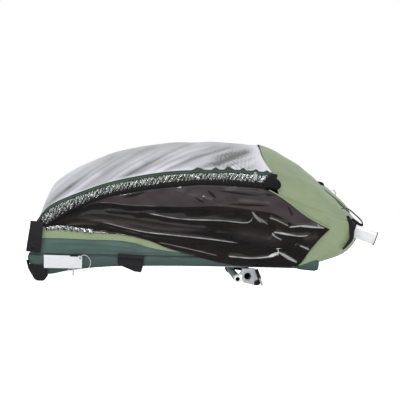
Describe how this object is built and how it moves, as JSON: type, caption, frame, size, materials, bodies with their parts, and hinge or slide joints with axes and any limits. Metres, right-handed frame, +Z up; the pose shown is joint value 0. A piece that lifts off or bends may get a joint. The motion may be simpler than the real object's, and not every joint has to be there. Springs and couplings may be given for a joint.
{
  "type": "child bicycle trailer",
  "caption": "Two-seat child bicycle trailer folded flat: green fabric tub, mesh front cover, dark side windows, wheel brackets and push-bar receivers, with a frame that swings up.",
  "frame": {"origin": "on the ground under the middle of the folded trailer", "axes": "+X to the trailer's rear, +Z up, the trailer's left side faces -Y"},
  "size_m": [1.0607, 0.812, 0.4505],
  "materials": {
    "aluminium": "brushed, lightly scuffed",
    "steel": "zinc plated",
    "black_plastic": "moulded black, fine texture",
    "red_plastic": "moulded red",
    "dark_fabric": "coated dark green polyester",
    "light_fabric": "coated sage green polyester",
    "mesh_fabric": "silver grey insect mesh under clear film",
    "tinted_vinyl": "glossy dark tinted film, creased",
    "cover_hem": "gathered clear film with a black elastic edge",
    "black_webbing": "woven black webbing",
    "seat_fabric": "dark brown seat cloth",
    "white_card": "blank white card",
    "clear_nylon": "thin moulded nylon"
  },
  "bodies": {
    "base": {"base_rail_left": "aluminium", "base_rail_right": "aluminium", "front_cross_tube": "aluminium", "rear_cross_tube": "aluminium", "axle_tube": "aluminium", "corner_bumper_left": "black_plastic", "corner_bumper_right": "black_plastic", "wheel_bracket_left": "aluminium", "wheel_bracket_right": "aluminium", "axle_bush_left": "steel", "axle_bush_right": "steel", "arm_pivot_bracket_left": "aluminium", "arm_pivot_bracket_right": "aluminium", "arm_pivot_bolt_left": "steel", "arm_pivot_bolt_right": "steel", "strut_bracket_left": "aluminium", "strut_bracket_right": "aluminium", "floor_tub": "dark_fabric", "seat_cushion": "seat_fabric", "seat_back": "seat_fabric", "harness_webbing_left": "black_webbing", "harness_webbing_right": "black_webbing", "harness_buckle_left": "black_plastic", "harness_buckle_right": "black_plastic", "drawbar_strap": "black_webbing", "hang_tag": "white_card", "tag_loop": "clear_nylon", "front_strap_left": "black_webbing", "front_strap_right": "black_webbing", "brake_housing_left": "black_plastic", "brake_housing_right": "black_plastic", "brake_cable": "black_plastic"},
    "upper_frame": {"side_arm_left": "aluminium", "side_arm_right": "aluminium", "push_bar_receiver_left": "aluminium", "push_bar_receiver_right": "aluminium", "roof_bow": "aluminium", "upper_cross_tube": "aluminium", "mesh_cover": "mesh_fabric", "roof_panel": "light_fabric", "side_panel_left": "light_fabric", "side_panel_right": "light_fabric", "side_window_left": "tinted_vinyl", "side_window_right": "tinted_vinyl", "rear_panel": "light_fabric", "cover_hem_left": "cover_hem", "cover_hem_right": "cover_hem", "carry_handle": "black_webbing"},
    "lower_struts": {"lower_strut_left": "aluminium", "lower_strut_right": "aluminium"},
    "upper_struts": {"upper_strut_left": "aluminium", "upper_strut_right": "aluminium"},
    "pedal": {"brake_pedal": "black_plastic"},
    "brake_pins": {"brake_pin_left": "steel", "brake_pin_right": "steel"},
    "left_button": {"buckle_button_left": "red_plastic"},
    "right_button": {"buckle_button_right": "red_plastic"},
    "ring": {"d_ring": "steel"},
    "left_zip_pull": {"zip_pull_left": "steel"},
    "right_zip_pull": {"zip_pull_right": "steel"}
  },
  "joints": [
    {"name": "frame_fold", "type": "hinge", "parent": "base", "child": "upper_frame", "pos_m": [-0.47, 0, 0.122], "axis": [0, -1, 0], "range_deg": [0, 40]},
    {"name": "lower_strut_fold", "type": "hinge", "parent": "base", "child": "lower_struts", "pos_m": [0.285, 0, 0.075], "axis": [0, 1, 0], "range_deg": [0, 57.85]},
    {"name": "upper_strut_fold", "type": "hinge", "parent": "upper_frame", "child": "upper_struts", "pos_m": [0.397, 0, 0.1906], "axis": [0, -1, 0], "range_deg": [0, 48.62]},
    {"name": "brake_release", "type": "hinge", "parent": "base", "child": "pedal", "pos_m": [0.106, 0.231, 0.018], "axis": [0, -1, 0], "range_deg": [0, 20]},
    {"name": "brake_pin_slide", "type": "slide", "parent": "base", "child": "brake_pins", "axis": [-0.368, 0, 0.9298], "range_m": [0, 0.006]},
    {"name": "left_button_press", "type": "slide", "parent": "base", "child": "left_button", "axis": [0, 0, -1], "range_m": [0, 0.0035], "stiffness_N_per_m": 300, "springref_m": -0.002},
    {"name": "right_button_press", "type": "slide", "parent": "base", "child": "right_button", "axis": [0, 0, -1], "range_m": [0, 0.0035], "stiffness_N_per_m": 300, "springref_m": -0.002},
    {"name": "ring_swing", "type": "hinge", "parent": "upper_frame", "child": "ring", "pos_m": [0.43125, 0, 0.28325], "axis": [-0.6031, 0, 0.7977], "range_deg": [-75, 75]},
    {"name": "left_zip_pull_swing", "type": "hinge", "parent": "upper_frame", "child": "left_zip_pull", "pos_m": [0.1535, -0.37075, 0.336], "axis": [0, -1, 0], "range_deg": [-45, 45]},
    {"name": "right_zip_pull_swing", "type": "hinge", "parent": "upper_frame", "child": "right_zip_pull", "pos_m": [0.1535, 0.37075, 0.336], "axis": [0, -1, 0], "range_deg": [-45, 45]}
  ],
  "couplings": [
    {"joint": "lower_strut_fold", "follows": "frame_fold", "ratio": 1.4459},
    {"joint": "upper_strut_fold", "follows": "frame_fold", "ratio": 1.2153},
    {"joint": "brake_pin_slide", "follows": "brake_release", "m_per_rad": 0.0171}
  ]
}
